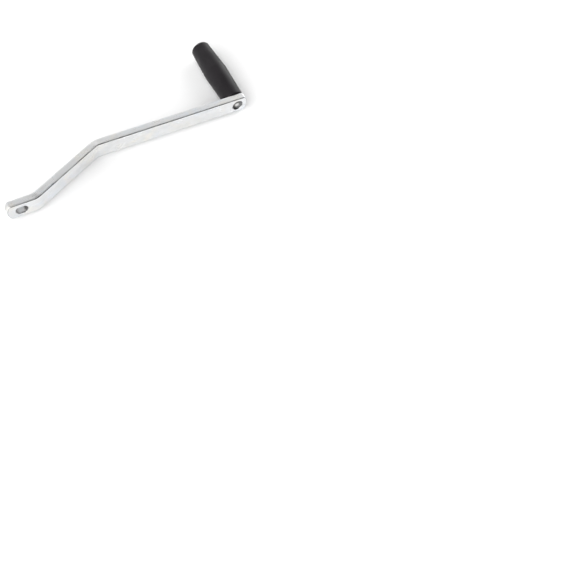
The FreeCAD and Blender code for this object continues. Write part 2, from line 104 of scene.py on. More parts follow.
class Skin:
    """Grids of points that are joined edge to edge into one closed mesh."""

    def __init__(self) -> None:
        """Start with no points."""
        self.points: list[np.ndarray] = []
        self.quads: list[np.ndarray] = []
        self.marks: dict[str, list[np.ndarray]] = {}
        self.count = 0

    def add(
        self,
        grid: np.ndarray,
        marks: dict[str, np.ndarray] | None = None,
        close_rows: bool = False,
        close_columns: bool = False,
    ) -> None:
        """Add a grid whose neighbouring points make four-sided faces.

        Args:
            grid: Rows by columns by 3 array of places.
            marks: Values carried by each point, rows by columns by any width.
            close_rows: Whether the last row is joined to the first.
            close_columns: Whether the last column is joined to the first.
        """
        rows, columns = grid.shape[:2]
        numbers = np.arange(rows * columns).reshape(rows, columns) + self.count
        if close_rows:
            numbers = np.vstack([numbers, numbers[:1]])
        if close_columns:
            numbers = np.hstack([numbers, numbers[:, :1]])
        corners = [numbers[:-1, :-1], numbers[1:, :-1], numbers[1:, 1:], numbers[:-1, 1:]]
        self.quads.append(np.stack(corners, axis=-1).reshape(-1, 4))
        self.points.append(grid.reshape(-1, 3))
        for name, values in (marks or {}).items():
            self.marks.setdefault(name, []).append(values.reshape(rows * columns, -1))
        self.count += rows * columns

    def build(self, name: str) -> bpy.types.Object:
        """Weld the grids and make the object, smooth except at its sharp corners.

        Points closer than the weld step become one. A face that loses a corner by
        that becomes a triangle, and one that loses two is left out.

        Args:
            name: The name of the piece.

        Returns:
            The new object, at the origin, with its place in its mesh.
        """
        points = np.concatenate(self.points)
        keys = np.round(points / WELD_STEP).astype(np.int64)
        _, first, renumbered = np.unique(keys, axis=0, return_index=True, return_inverse=True)
        quads = renumbered.reshape(-1)[np.concatenate(self.quads)]
        lost = quads == np.roll(quads, -1, axis=1)
        whole = quads[lost.sum(axis=1) == 0]
        pinched = lost.sum(axis=1) == 1
        kept = np.argsort(lost[pinched], axis=1, kind="stable")[:, :3]
        triangles = np.take_along_axis(quads[pinched], np.sort(kept, axis=1), axis=1)

        mesh = bpy.data.meshes.new(name)
        mesh.from_pydata(points[first].tolist(), [], whole.tolist() + triangles.tolist())
        work = bmesh.new()
        work.from_mesh(mesh)
        bmesh.ops.recalc_face_normals(work, faces=work.faces)
        open_edges = sum(1 for edge in work.edges if not edge.is_manifold)
        work.to_mesh(mesh)
        work.free()
        for mark, values in self.marks.items():
            carried = np.concatenate(values)[first].astype(np.float32)
            kind = "FLOAT" if carried.shape[1] == 1 else "FLOAT_VECTOR"
            field_name = "value" if kind == "FLOAT" else "vector"
            layer = mesh.attributes.new(mark, kind, "POINT")
            layer.data.foreach_set(field_name, carried.reshape(-1))
        mesh.shade_smooth()
        mesh.set_sharp_from_angle(angle=SHARP_ANGLE)
        piece = bpy.data.objects.new(name, mesh)
        bpy.context.scene.collection.objects.link(piece)
        log.info("%s: %d faces, %d open edges", name, len(mesh.polygons), open_edges)
        return piece


@dataclass(frozen=True)
class Corner:
    """A corner of a turned profile: radius, height along the axis, and its rounding."""

    radius: float
    height: float
    rounding: float = 0.0
    steps: int = 6


def round_profile(corners: list[Corner], closed: bool) -> np.ndarray:
    """Points along a profile whose rounded corners are arcs that touch both sides.

    The arc's setback along each side is the rounding times the tangent of half the
    angle the profile turns through there.

    Args:
        corners: The profile's corners in order.
        closed: Whether the last corner is followed by the first.

    Returns:
        An array of (radius, height) rows.
    """
    places = np.array([[corner.radius, corner.height] for corner in corners])
    runs: list[np.ndarray] = []
    for number, corner in enumerate(corners):
        here = places[number]
        at_end = not closed and number in (0, len(corners) - 1)
        if corner.rounding == 0 or at_end:
            runs.append(here[None])
            continue
        back = places[number - 1] - here
        ahead = places[(number + 1) % len(corners)] - here
        back, ahead = back / np.linalg.norm(back), ahead / np.linalg.norm(ahead)
        half_open = math.acos(float(np.clip(back @ ahead, -1, 1))) / 2
        middle = (back + ahead) / np.linalg.norm(back + ahead)
        centre = here + middle * corner.rounding / math.sin(half_open)
        setback = corner.rounding / math.tan(half_open)
        start, end = here + back * setback - centre, here + ahead * setback - centre
        sweep = math.pi - 2 * half_open
        share = np.linspace(0, 1, corner.steps + 1)[:, None]
        arc = (np.sin((1 - share) * sweep) * start + np.sin(share * sweep) * end) / math.sin(sweep)
        runs.append(centre + arc)
    return np.concatenate(runs)


def turn_profile(profile: np.ndarray, angles: np.ndarray, axis_x: float) -> np.ndarray:
    """Carry a profile round an axis along +Y: x and z are its radius times cosine and sine.

    Args:
        profile: Rows of (radius, height).
        angles: The angles to carry it to.
        axis_x: Where the axis crosses the X axis.

    Returns:
        A grid of places, one row for each profile point.
    """
    radius, height = profile[:, :1], profile[:, 1:]
    across = axis_x + radius * np.cos(angles)
    along = np.broadcast_to(height, across.shape)
    return np.stack([across, along, radius * np.sin(angles)], axis=-1)


def even_angles(count: int) -> np.ndarray:
    """That many equal steps of a full turn."""
    return np.linspace(0, FULL_TURN, count, endpoint=False)


# ---------------------------------------------------------------- finishes


class Nodes:
    """A node tree filled node by node, each one linked as it is added."""

    def __init__(self, tree: bpy.types.NodeTree) -> None:
        """Start with the tree emptied."""
        self.tree = tree
        self.tree.nodes.clear()

    def give(self, socket: bpy.types.NodeSocket, value: object) -> None:
        """Link a socket to another socket, or set its own value.

        Args:
            socket: The input to fill.
            value: An output socket, a number, or a colour.
        """
        if isinstance(value, bpy.types.NodeSocket):
            self.tree.links.new(value, socket)
        else:
            socket.default_value = value

    def add(self, kind: str, inputs: dict[object, object], **settings: object) -> bpy.types.Node:
        """Add a node with settings, its inputs given by name or place.

        Args:
            kind: The node's type.
            inputs: What goes into each input.
            settings: Properties of the node.

        Returns:
            The new node.
        """
        node = self.tree.nodes.new(kind)
        for name, value in settings.items():
            setattr(node, name, value)
        for key, value in inputs.items():
            self.give(node.inputs[key], value)
        return node

    def spread(
        self,
        value: bpy.types.NodeSocket,
        low: float,
        high: float,
        to_low: float,
        to_high: float,
        way: str = "LINEAR",
    ) -> bpy.types.NodeSocket:
        """A value taken from one range to another, and held at its ends."""
        inputs = {0: value, 1: low, 2: high, 3: to_low, 4: to_high}
        return self.add("ShaderNodeMapRange", inputs, interpolation_type=way).outputs[0]

    def maths(self, operation: str, first: object, second: object) -> bpy.types.NodeSocket:
        """Two values put together by an operation."""
        return self.add("ShaderNodeMath", {0: first, 1: second}, operation=operation).outputs[0]


class Graph(Nodes):
    """A material's nodes round one shader."""

    def __init__(self, name: str) -> None:
        """Start a material that holds only its output and one shader.

        Args:
            name: The material's name.
        """
        self.material = bpy.data.materials.new(name)
        self.material.use_nodes = True
        super().__init__(self.material.node_tree)
        self.shader = self.add("ShaderNodeBsdfPrincipled", {})
        self.add("ShaderNodeOutputMaterial", {"Surface": self.shader.outputs[0]})

    def place(self, shift: tuple = (0, 0, 0)) -> bpy.types.NodeSocket:
        """Object coordinates moved by shift."""
        source = self.add("ShaderNodeTexCoord", {}).outputs["Object"]
        return self.stretched(source, (1, 1, 1), shift)

    def stretched(
        self, source: bpy.types.NodeSocket, stretch: tuple, shift: tuple = (0, 0, 0)
    ) -> bpy.types.NodeSocket:
        """A vector scaled after it is moved.

        Args:
            source: The vector.
            stretch: What it is multiplied by, axis by axis.
            shift: What is added to it first.

        Returns:
            The new vector.
        """
        moved = self.add("ShaderNodeVectorMath", {0: source, 1: shift}, operation="ADD").outputs[0]
        scaled = self.add("ShaderNodeVectorMath", {0: moved, 1: stretch}, operation="MULTIPLY")
        return scaled.outputs[0]

    def mark(self, name: str) -> bpy.types.Node:
        """The node that reads a value carried by the mesh."""
        return self.add("ShaderNodeAttribute", {}, attribute_name=name)

    def noise(
        self, vector: bpy.types.NodeSocket, scale: float, detail: float = 3.0, swirl: float = 0.0
    ) -> bpy.types.NodeSocket:
        """Soft noise from 0 to 1, most of it near a half."""
        inputs = {"Vector": vector, "Scale": scale, "Detail": detail, "Distortion": swirl}
        return self.add("ShaderNodeTexNoise", inputs).outputs[0]

    def cells(
        self, vector: bpy.types.NodeSocket, scale: float, feature: str = "F1"
    ) -> bpy.types.NodeSocket:
        """Distance inside irregular cells."""
        inputs = {"Vector": vector, "Scale": scale}
        return self.add("ShaderNodeTexVoronoi", inputs, feature=feature).outputs["Distance"]

    def blend(
        self, share: bpy.types.NodeSocket, first: object, second: object
    ) -> bpy.types.NodeSocket:
        """Two colours put together by a share from 0 to 1."""
        inputs = {0: share, 6: first, 7: second}
        return self.add("ShaderNodeMix", inputs, data_type="RGBA").outputs[2]

    def relief(self, layers: list[tuple[bpy.types.NodeSocket, float]]) -> None:
        """Give the shader a bump of several heights, one on the other.

        Args:
            layers: Each height from 0 to 1 with its depth in metres.
        """
        normal: bpy.types.NodeSocket | None = None
        for height, depth in layers:
            inputs: dict[object, object] = {"Height": height, "Distance": depth, "Strength": 1.0}
            if normal is not None:
                inputs["Normal"] = normal
            normal = self.add("ShaderNodeBump", inputs).outputs[0]
        self.give(self.shader.inputs["Normal"], normal)

    def finish(self, **inputs: object) -> bpy.types.Material:
        """Fill the shader's inputs.

        Args:
            inputs: What goes into each input, its name with _ for a space.

        Returns:
            The material.
        """
        for name, value in inputs.items():
            self.give(self.shader.inputs[name.replace("_", " ")], value)
        return self.material


def rgb(red: float, green: float, blue: float) -> tuple[float, float, float, float]:
    """An opaque colour."""
    return (red, green, blue, 1.0)


# Dark colour painted in as shade in holes, recesses and between parts, with some dirt.
DARK_FILM_AND_SHADE = rgb(0.085, 0.08, 0.078)


@dataclass(frozen=True)
class ZincPlate:
    """Bright zinc plating on rolled bar, with a faint blue and straw bloom.

    It reads the flat blank's own coordinates, so the rolling grain follows the bends,
    and three marks: how rounded the edge is there, which darkens the edge by rubbing and
    by a painted dark reflection; how much of it was sheared; and how much dark colour is
    painted in there, painted shade with some dirt in the holes and the recess.
    much dark film has gathered there.
    """

    clean: tuple = rgb(0.79, 0.795, 0.80)
    cloudy: tuple = rgb(0.71, 0.72, 0.725)
    blue_bloom: tuple = rgb(0.76, 0.79, 0.825)
    straw_bloom: tuple = rgb(0.825, 0.805, 0.76)
    # Darker bare zinc, also used to paint a dark reflection along the edges.
    worn_and_dark_reflection: tuple = rgb(0.40, 0.405, 0.41)
    # The painted shade's colour, with some dirt.
    film_and_shade: tuple = DARK_FILM_AND_SHADE
    base_roughness: float = 0.27
    cloud_scale: float = 95
    bloom_scale: float = 42
    grain_scale: float = 2600
    pit_scale: float = 420
    frosting_scale: float = 900
    scratch_scale: float = 700
    torn_scale: float = 1500
    grain_depth: float = 0.00003
    pit_depth: float = 0.00006
    torn_depth: float = 0.00018

    def make(self) -> bpy.types.Material:
        """Build the material.

        Returns:
            The material.
        """
        graph = Graph("zinc_plate")
        blank = graph.mark("blank_place").outputs["Vector"]
        edge = graph.mark("edge_wear_and_dark_reflection").outputs["Fac"]
        sheared = graph.mark("sheared").outputs["Fac"]
        grime_and_shade = graph.mark("grime_and_shade").outputs["Fac"]
        clouds = graph.noise(graph.stretched(blank, (0.6, 1, 1)), self.cloud_scale, 4, 0.6)
        shifted = graph.stretched(blank, (0.7, 1, 1), (0.3, 0, 0))
        bloom = graph.noise(shifted, self.bloom_scale, 2, 1.2)
        grain = graph.noise(graph.stretched(blank, (0.03, 1, 1)), self.grain_scale, 3)
        pits = graph.cells(blank, self.pit_scale)
        frosting = graph.noise(blank, self.frosting_scale, 2)
        drawn = graph.stretched(blank, (0.05, 0.6, 1.0), (0.9, 0, 0))
        scratches = graph.noise(drawn, self.scratch_scale, 1, 2.5)

        tint = graph.blend(graph.spread(bloom, 0.34, 0.48, 1, 0), self.clean, self.blue_bloom)
        tint = graph.blend(graph.spread(bloom, 0.54, 0.68, 0, 0.8), tint, self.straw_bloom)
        cloudiness = graph.spread(clouds, 0.42, 0.68, 0.0, 0.65)
        colour = graph.blend(cloudiness, tint, self.cloudy)
        # Darker along the edges and hole mouths: rubbing plus a painted dark reflection.
        colour = graph.blend(graph.spread(edge, 0.15, 0.9, 0.0, 0.85), colour, self.worn_and_dark_reflection)
        colour = graph.blend(graph.maths("MULTIPLY", sheared, 0.5), colour, self.worn_and_dark_reflection)
        # Painted shade, with some dirt, in the holes and the recess where the mesh's mark says.
        film_and_shade = graph.maths("MULTIPLY", grime_and_shade, graph.spread(frosting, 0.3, 0.6, 0.75, 1.0))
        colour = graph.blend(film_and_shade, colour, self.film_and_shade)

        rough = graph.spread(clouds, 0.35, 0.7, self.base_roughness, self.base_roughness + 0.14)
        rough = graph.maths("ADD", rough, graph.spread(grain, 0.3, 0.7, -0.05, 0.05))
        rough = graph.maths("SUBTRACT", rough, graph.maths("MULTIPLY", edge, 0.12))
        rough = graph.maths("ADD", rough, graph.maths("MULTIPLY", sheared, 0.12))
        rough = graph.maths("ADD", rough, graph.maths("MULTIPLY", grime_and_shade, 0.15))
        rough = graph.maths("SUBTRACT", rough, graph.spread(scratches, 0.66, 0.72, 0.0, 0.08))

        torn = graph.noise(graph.stretched(blank, (1, 0.25, 1)), self.torn_scale, 3)
        frosted = graph.maths("MULTIPLY", frosting, 0.5)
        graph.relief(
            [
                (graph.spread(pits, 0.0, 0.35, 0.0, 1.0), self.pit_depth),
                (graph.maths("ADD", grain, frosted), self.grain_depth),
                (graph.maths("MULTIPLY", torn, sheared), self.torn_depth),
            ]
        )
        return graph.finish(Base_Color=colour, Metallic=1.0, Roughness=rough)


@dataclass(frozen=True)
class TurnedSteel:
    """Steel from the lathe: rings of fine tool marks about the piece's axis.

    It reads a mark for how much dark colour is painted in, painted shade with some dirt
    under the rivet head and on the shank inside the bar, nothing where a piece has none.
    """

    name: str
    bright: tuple
    dull: tuple
    roughness: float
    axis_x: float
    mark_depth: float = 0.00002
    speckle: float = 0.5
    tool_scale: float = 5200
    stain_scale: float = 300
    fine_scale: float = 2400
    film_and_shade: tuple = DARK_FILM_AND_SHADE

    def make(self) -> bpy.types.Material:
        """Build the material.

        Returns:
            The material.
        """
        graph = Graph(self.name)
        place = graph.place((-self.axis_x, 0, 0))
        apart = graph.add("ShaderNodeSeparateXYZ", {0: place}).outputs
        flat = graph.add("ShaderNodeCombineXYZ", {0: apart["X"], 2: apart["Z"]}).outputs[0]
        reach = graph.add("ShaderNodeVectorMath", {0: flat}, operation="LENGTH").outputs["Value"]
        rings = graph.add("ShaderNodeCombineXYZ", {0: reach, 1: apart["Y"]}).outputs[0]
        tool = graph.noise(rings, self.tool_scale, 2)
        stain = graph.noise(place, self.stain_scale, 4, 0.8)
        fine = graph.noise(place, self.fine_scale, 2)
        colour = graph.blend(graph.spread(stain, 0.38, 0.66, 0, 1), self.bright, self.dull)
        colour = graph.blend(graph.spread(fine, 0.55, 0.75, 0, self.speckle), colour, self.dull)
        # Painted shade, with some dirt, on the rivet head's rim and the shank inside the bar.
        grime_and_shade = graph.mark("grime_and_shade").outputs["Fac"]
        colour = graph.blend(graph.maths("MULTIPLY", grime_and_shade, 0.85), colour, self.film_and_shade)
        rough = graph.spread(tool, 0.3, 0.7, self.roughness - 0.07, self.roughness + 0.07)
        rough = graph.maths("ADD", rough, graph.spread(stain, 0.4, 0.7, 0.0, 0.12))
        graph.relief([(tool, self.mark_depth), (fine, self.mark_depth)])
        return graph.finish(Base_Color=colour, Metallic=1.0, Roughness=rough)


@dataclass(frozen=True)
class MouldedPlastic:
    """Moulded plastic with the fine grain of an etched mould and a little handling shine."""

    name: str
    deep: tuple
    rubbed: tuple
    roughness: float
    grain_depth: float
    grain_scale: float = 1300
    specular: float = 0.5

    def make(self) -> bpy.types.Material:
        """Build the material.

        Returns:
            The material.
        """
        graph = Graph(self.name)
        place = graph.place()
        etched = graph.cells(graph.stretched(place, (1, 0.8, 1)), self.grain_scale, "SMOOTH_F1")
        fine = graph.noise(place, self.grain_scale * 2.2, 2)
        handled = graph.noise(graph.stretched(place, (1, 0.55, 1)), 60, 3, 0.5)
        flow = graph.noise(graph.stretched(place, (1, 0.12, 1)), 240, 2, 0.3)
        colour = graph.blend(graph.spread(handled, 0.4, 0.68, 0.0, 1.0), self.deep, self.rubbed)
        colour = graph.blend(graph.spread(flow, 0.55, 0.75, 0.0, 0.5), colour, self.rubbed)
        rough = graph.spread(handled, 0.36, 0.68, self.roughness + 0.05, self.roughness - 0.06)
        rough = graph.maths("ADD", rough, graph.spread(fine, 0.3, 0.7, -0.03, 0.03))
        graph.relief([(etched, self.grain_depth), (fine, self.grain_depth * 0.5)])
        return graph.finish(Base_Color=colour, Roughness=rough, Specular_IOR_Level=self.specular)


# ---------------------------------------------------------------- crank arm


@dataclass(frozen=True)
class HoleRing:
    """A ring of a hole's wall: its depth, its size, and its marks for the finish.

    The size is the growth of the hub hole's outline, or a round hole's diameter. The
    third mark darkens by rubbing and paints a dark reflection, and the last is painted
    shade with some dirt.
    """

    depth: float
    size: float
    wear_and_dark_reflection: float
    torn: float
    film_and_shade: float


@dataclass
class CrankArm:
    """Flat bar, sheared to convex ends, punched, then bent cold to its offset.

    It is shaped as a flat blank first, in developed length, thickness and width, and
    every point is then carried through the two bends.
    """

    width: float = 0.025
    thickness: float = 0.010
    edge_radius: float = 0.0012
    end_radius: float = 0.020
    end_corner_radius: float = 0.0016
    hub_reach: float = 0.0182
    first_bend_x: float = 0.021
    second_bend_x: float = 0.120
    offset: float = 0.048
    inner_bend_radius: float = 0.018
    grip_axis_x: float = 0.330
    tip_reach: float = 0.015
    hole_diameter: float = 0.015
    hole_flats: float = 0.0125
    hole_bevel: float = 0.0005
    recess_diameter: float = 0.0155
    recess_depth: float = 0.0035
    neck_diameter: float = 0.008
    patch_reach: float = 0.0125
    support: float = 0.0002
    swell: float = 0.022
    shear_lean: float = 0.00018
    clean_cut: float = 0.35
    rows_across: int = 14
    rim_steps: int = 8
    end_steps: int = 216
    plate: ZincPlate = field(default_factory=ZincPlate)

    def __post_init__(self) -> None:
        """Work out where the bends start and stop along the developed middle line."""
        outer = self.inner_bend_radius + self.thickness
        self.turn = math.atan(self.offset / (self.second_bend_x - self.first_bend_x))
        tangent = math.tan(self.turn / 2)
        self.middle_radius = self.inner_bend_radius + self.thickness / 2
        self.first_x = self.first_bend_x - outer * tangent
        self.second_x = self.second_bend_x + self.inner_bend_radius * tangent
        bend = self.middle_radius * self.turn
        lift = self.middle_radius * math.sin(self.turn)
        drop = self.middle_radius * (1 - math.cos(self.turn))
        run = np.array([self.second_x - self.first_x - 2 * lift, self.offset - 2 * drop])
        self.slope_length = float(np.linalg.norm(run))
        self.slope_start = self.first_x + bend
        self.second_start = self.slope_start + self.slope_length
        self.level_start = self.second_start + bend
        self.grip_s = self.level_start + self.grip_axis_x - self.second_x

    def bend_blank(self, blank: np.ndarray) -> np.ndarray:
        """Carry points of the flat blank through the two bends.

        The middle line's place adds up its level runs, its sloping run and its two
        arcs, whose angles grow with the length covered. A point then stands off the
        middle line by its depth, square to the heading there. On the inside of a bend
        the squeezed metal swells the width, and on the outside it draws in.

        Args:
            blank: Array of (developed length, depth from the seating side, width).

        Returns:
            Array of places of the same shape.
        """
        length, depth, width = blank[..., 0], blank[..., 1], blank[..., 2]
        first = np.clip((length - self.first_x) / self.middle_radius, 0, self.turn)
        second = np.clip((length - self.second_start) / self.middle_radius, 0, self.turn)
        left = self.turn - second
        slope = np.clip(length - self.slope_start, 0, self.slope_length)
        level = np.minimum(length, self.first_x) + np.maximum(length - self.level_start, 0)
        radius = self.middle_radius
        along = level + radius * np.sin(first) + math.cos(self.turn) * slope
        along += radius * (math.sin(self.turn) - np.sin(left))
        across = self.thickness / 2 + radius * (1 - np.cos(first)) + math.sin(self.turn) * slope
        across += radius * (np.cos(left) - math.cos(self.turn))
        heading = first - second
        stand_off = depth - self.thickness / 2
        inside = np.sin(math.pi * first / self.turn) - np.sin(math.pi * second / self.turn)
        swollen = width * (1 + self.swell * inside * stand_off / (self.thickness / 2))
        place = [along - stand_off * np.sin(heading), across + stand_off * np.cos(heading), swollen]
        return np.stack(place, axis=-1)

    def end_outline(self, reach: float, angles: np.ndarray) -> tuple[np.ndarray, np.ndarray]:
        """The outline of one end about its hole, where rays at those angles meet it.

        It is a straight side, a corner arc, and the convex end arc, then the same
        mirrored. It is sampled closely and read off by angle.

        Args:
            reach: From the hole to the end's apex.
            angles: Angles about the hole, measured from the rest of the bar.

        Returns:
            Places and outward directions, as (away from the bar's run, width) rows.
        """
        half = self.width / 2
        arc_x = -reach + self.end_radius
        inner = self.end_radius - self.end_corner_radius
        corner_z = half - self.end_corner_radius
        corner_x = arc_x - math.sqrt(inner**2 - corner_z**2)
        meeting = math.atan2(corner_z, corner_x - arc_x)
        share = np.linspace(0, 1, 400)
        side_x = self.patch_reach + (corner_x - self.patch_reach) * share
        side = np.stack([side_x, np.full(share.shape, half)], -1)
        side_out = np.broadcast_to([0.0, 1.0], side.shape)
        swing = math.pi / 2 + (meeting - math.pi / 2) * share
        corner_out = np.stack([np.cos(swing), np.sin(swing)], -1)
        corner = np.array([corner_x, corner_z]) + self.end_corner_radius * corner_out
        swing = meeting + (math.pi - meeting) * share
        end_out = np.stack([np.cos(swing), np.sin(swing)], -1)
        end = np.array([arc_x, 0]) + self.end_radius * end_out
        places = np.concatenate([side, corner[1:], end[1:]])
        outs = np.concatenate([side_out, corner_out[1:], end_out[1:]])
        mirror = np.array([1.0, -1.0])
        places = np.concatenate([places, places[-2::-1] * mirror])
        outs = np.concatenate([outs, outs[-2::-1] * mirror])
        seen = np.unwrap(np.arctan2(places[:, 1], places[:, 0]))
        read = np.stack([np.interp(angles, seen, values) for values in (*places.T, *outs.T)], -1)
        outward = read[:, 2:] / np.linalg.norm(read[:, 2:], axis=1, keepdims=True)
        return read[:, :2], outward

    def end_angles(self) -> np.ndarray:
        """Angles of the rays to an end's outline, the hole's own corners among them.

        Returns:
            The angles in rising order.
        """
        cut = math.atan2(self.width / 2, self.patch_reach)
        flat = math.asin(self.hole_flats / self.hole_diameter)
        corners = [flat, math.pi - flat, math.pi + flat, FULL_TURN - flat]
        even = np.linspace(cut, FULL_TURN - cut, self.end_steps + 1)
        return np.unique(np.concatenate([even, corners]))

    def cut_rows(self) -> np.ndarray:
        """Heights of the rows of points that run the length of the bar's broad sides."""
        edge = self.width / 2 - self.edge_radius - self.support
        return np.linspace(-edge, edge, self.rows_across + 1)

    def to_blank(self, end: BarEnd, flat: np.ndarray, depth: np.ndarray | float) -> np.ndarray:
        """Blank coordinates of points given about an end's hole, the bar's run at +X.

        Args:
            end: Which end.
            flat: Rows of (towards the bar's run, width).
            depth: Depth of each point from the seating side.

        Returns:
            Array of (developed length, depth, width).
        """
        hole = 0.0 if end is BarEnd.HUB else self.grip_s
        length = hole - end.value * flat[..., 0]
        return np.stack([length, np.broadcast_to(depth, length.shape), flat[..., 1]], -1)

    def rim_profile(self) -> np.ndarray:
        """Inset and depth round the bar's edge, from one broad side to the other.

        Each corner is a quarter circle, and a narrow level strip leads into it.

        Returns:
            Rows of (inset, depth).
        """
        radius = self.edge_radius
        swing = np.linspace(0, math.pi / 2, self.rim_steps + 1)
        corner = np.stack([radius * (1 - np.sin(swing)), radius * (1 - np.cos(swing))], -1)
        wall = np.linspace(radius, self.thickness - radius, 6)[1:-1]
        wall = np.stack([0 * wall, wall], -1)
        near = np.concatenate([[[radius + self.support, 0.0]], corner])
        far = np.stack([near[:, 0], self.thickness - near[:, 1]], -1)[::-1]
        return np.concatenate([near, wall, far])

    def sheared_share(self, outs: np.ndarray) -> np.ndarray:
        """How much of the wall was sheared: all of it at the ends, none along the sides."""
        return np.clip(np.abs(outs[:, 0]) * 1.6 - 0.5, 0, 1)

    def add_rim(self, skin: Skin) -> None:
        """The wall and rounded edges, a profile carried round the blank's outline.

        At the two ends the wall leans in with depth, as shearing leaves it.

        Args:
            skin: The surface to add to.
        """
        angles = self.end_angles()
        hub, hub_out = self.end_outline(self.hub_reach, angles)
        tip, tip_out = self.end_outline(self.tip_reach, angles)
        run = self.run_lengths()[1:-1]
        side = np.full(run.shape, self.width / 2)
        lower = np.stack([run, -side], -1)
        upper = np.stack([run[::-1], side], -1)
        flip = np.array([-1.0, 1.0])
        tip_places = (tip * flip + [self.grip_s, 0])[::-1]
        places = np.concatenate([hub, lower, tip_places, upper])
        down = np.broadcast_to([0.0, -1.0], lower.shape)
        outs = np.concatenate([hub_out, down, (tip_out * flip)[::-1], -down])
        profile = self.rim_profile()
        sheared = self.sheared_share(outs)
        inset = profile[:, :1] + self.shear_lean * sheared * (profile[:, 1:] / self.thickness)
        flat = places[None] - inset[..., None] * outs[None]
        depth = np.broadcast_to(profile[:, 1:], inset.shape)
        blank = np.stack([flat[..., 0], depth, flat[..., 1]], -1)
        # Darkest mid-way round each edge's rounding, which faces up and out: rubbing plus a painted
        # dark reflection.
        wear_and_dark_reflection = 1 - np.abs(1 - 2 * np.clip(profile[:, 0] / self.edge_radius, 0, 1))
        wear_and_dark_reflection = np.where(profile[:, 0] > self.edge_radius, 0, wear_and_dark_reflection)
        torn = sheared * np.clip((profile[:, 1:] / self.thickness - self.clean_cut) * 5, 0, 1)
        on_wall = np.clip(1 - profile[:, :1] / self.edge_radius, 0, 1)
        self.add_blank(skin, blank, wear_and_dark_reflection[:, None], torn * on_wall, close_columns=True)

    def add_blank(
        self,
        skin: Skin,
        blank: np.ndarray,
        wear_and_dark_reflection: np.ndarray | float = 0.0,
        sheared: np.ndarray | float = 0.0,
        grime_and_shade: np.ndarray | float = 0.0,
        close_columns: bool = False,
    ) -> None:
        """Bend a grid of the blank and add it with the marks that its finish reads.

        Args:
            skin: The surface to add to.
            blank: Grid of (developed length, depth, width).
            wear_and_dark_reflection: How far the zinc is rubbed through at each point; it also
                paints a dark
            reflection along the edges.
            sheared: How roughly the metal was sheared there.
            grime_and_shade: How much dark colour is painted in there: painted shade, with some
                dirt.
            close_columns: Whether the last column is joined to the first.
        """
        shape = blank.shape[:2]
        marks = {
            "blank_place": blank,
            "edge_wear_and_dark_reflection": np.broadcast_to(wear_and_dark_reflection, shape),
            "sheared": np.broadcast_to(sheared, shape),
            "grime_and_shade": np.broadcast_to(grime_and_shade, shape),
        }
        skin.add(self.bend_blank(blank), marks, close_columns=close_columns)

    def run_lengths(self) -> np.ndarray:
        """Developed lengths of the points along the run between the two end patches.

        Returns:
            The lengths in rising order, closer together in the bends.
        """
        start, stop = self.patch_reach, self.grip_s - self.patch_reach
        bends = [
            np.linspace(self.first_x, self.slope_start, 27),
            np.linspace(self.second_start, self.level_start, 27),
        ]
        runs = [
            np.linspace(start, self.first_x, 3),
            np.linspace(self.slope_start, self.second_start, 32),
            np.linspace(self.level_start, stop, 66),
        ]
        return np.unique(np.round(np.concatenate(bends + runs), 9))

    def add_run(self, skin: Skin) -> None:
        """The two broad sides between the ends, plain grids of length by width.

        Args:
            skin: The surface to add to.
        """
        lengths, rows = np.meshgrid(self.run_lengths(), self.cut_rows(), indexing="ij")
        for depth in (0.0, self.thickness):
            self.add_blank(skin, np.stack([lengths, np.full(lengths.shape, depth), rows], -1))

    def double_d(self, angles: np.ndarray, grow: float) -> np.ndarray:
        """The hub hole's outline: at each angle the nearer of its circle and its flats.

        Args:
            angles: Angles about the hole.
            grow: How far the outline stands outside the hole.

        Returns:
            Rows of (towards the bar's run, width).
        """
        flat = (self.hole_flats / 2 + grow) / np.maximum(np.abs(np.sin(angles)), 1e-9)
        reach = np.minimum(self.hole_diameter / 2 + grow, flat)
        return np.stack([reach * np.cos(angles), reach * np.sin(angles)], -1)

    def circle(self, angles: np.ndarray, diameter: float) -> np.ndarray:
        """A round hole's outline at those angles."""
        return diameter / 2 * np.stack([np.cos(angles), np.sin(angles)], -1)

    def hole_rings(self, end: BarEnd) -> list[HoleRing]:
        """The rings of an end's hole, from the seating side to the back.

        The hub hole is as wide all through, but for a bevel at each mouth. The other
        is a bevelled recess with the neck's narrower hole behind it.

        Args:
            end: Which end.

        Returns:
            The rings in order.
        """
        bevel, back = self.hole_bevel, self.thickness
        # Third column: darkening by rubbing and a painted dark reflection. Fifth: painted shade
        # with some dirt, deepest mid-hole.
        if end is BarEnd.HUB:
            return [
                HoleRing(0.0, bevel, 0.5, 0.0, 0.0),
                HoleRing(bevel, 0.0, 0.9, 0.0, 0.5),
                HoleRing(back * 0.4, 0.0, 0.1, 0.2, 0.9),
                HoleRing(back * 0.7, 0.0, 0.0, 0.5, 1.0),
                HoleRing(back - bevel, 0.0, 0.6, 0.5, 0.7),
                HoleRing(back, bevel, 0.6, 0.2, 0.0),
            ]
        # Painted shade with some dirt on the recess floor and down the neck's hole, darkest at the
        # floor.
        wide, narrow, floor = self.recess_diameter, self.neck_diameter, self.recess_depth
        return [
            HoleRing(0.0, wide + 2 * bevel, 0.5, 0.0, 0.0),
            HoleRing(bevel, wide, 0.9, 0.0, 0.0),
            HoleRing(floor * 0.6, wide, 0.2, 0.2, 0.1),
            HoleRing(floor, wide, 0.0, 0.4, 0.5),
            HoleRing(floor, narrow, 0.0, 0.6, 1.0),
            HoleRing(back, narrow, 0.0, 0.6, 0.0),
        ]

